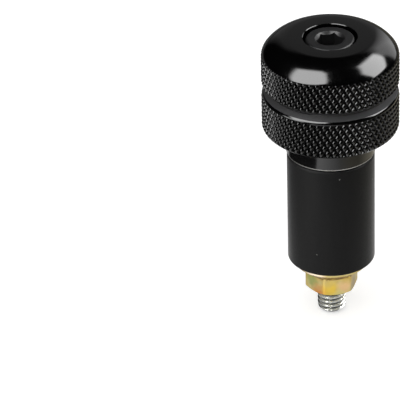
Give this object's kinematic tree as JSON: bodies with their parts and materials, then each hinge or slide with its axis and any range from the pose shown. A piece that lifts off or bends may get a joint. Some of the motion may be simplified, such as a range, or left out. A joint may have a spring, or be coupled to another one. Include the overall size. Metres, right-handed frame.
{
  "type": "handlebar end weight",
  "caption": "Knurled round weight with a collar and a rubber expander sleeve that a socket screw and a flange nut tighten inside a hollow handlebar end.",
  "frame": {"origin": "centre of the head's back face, which butts against the end of the handlebar", "axes": "+Z along the common axis, out through the head's front face; the nut and the screw's tip lie at -Z"},
  "size_m": [0.028, 0.028, 0.0643],
  "materials": {
    "gloss_black": "gloss black over turned and diamond-knurled steel",
    "screw_steel": "black oxide head, bright zinc thread",
    "collar_black": "gloss black turned steel",
    "rubber": "matt moulded rubber",
    "yellow_zinc": "iridescent yellow zinc plate"
  },
  "bodies": {
    "weight": {"knurled_head": "gloss_black", "collar": "collar_black", "rubber_sleeve": "rubber"},
    "screw": {"socket_screw": "screw_steel"},
    "nut": {"flange_nut": "yellow_zinc"}
  },
  "joints": [
    {"name": "screw_turn", "type": "hinge", "parent": "weight", "child": "screw", "pos_m": [0, 0, 0.0142], "axis": [0, 0, -1], "range_deg": [0, 1080]},
    {"name": "nut_draw", "type": "slide", "parent": "weight", "child": "nut", "axis": [0, 0, 1], "range_m": [0, 0.003], "deforming": ["rubber_sleeve"]}
  ],
  "couplings": [
    {"joint": "nut_draw", "follows": "screw_turn", "m_per_rad": 0.00015915}
  ]
}
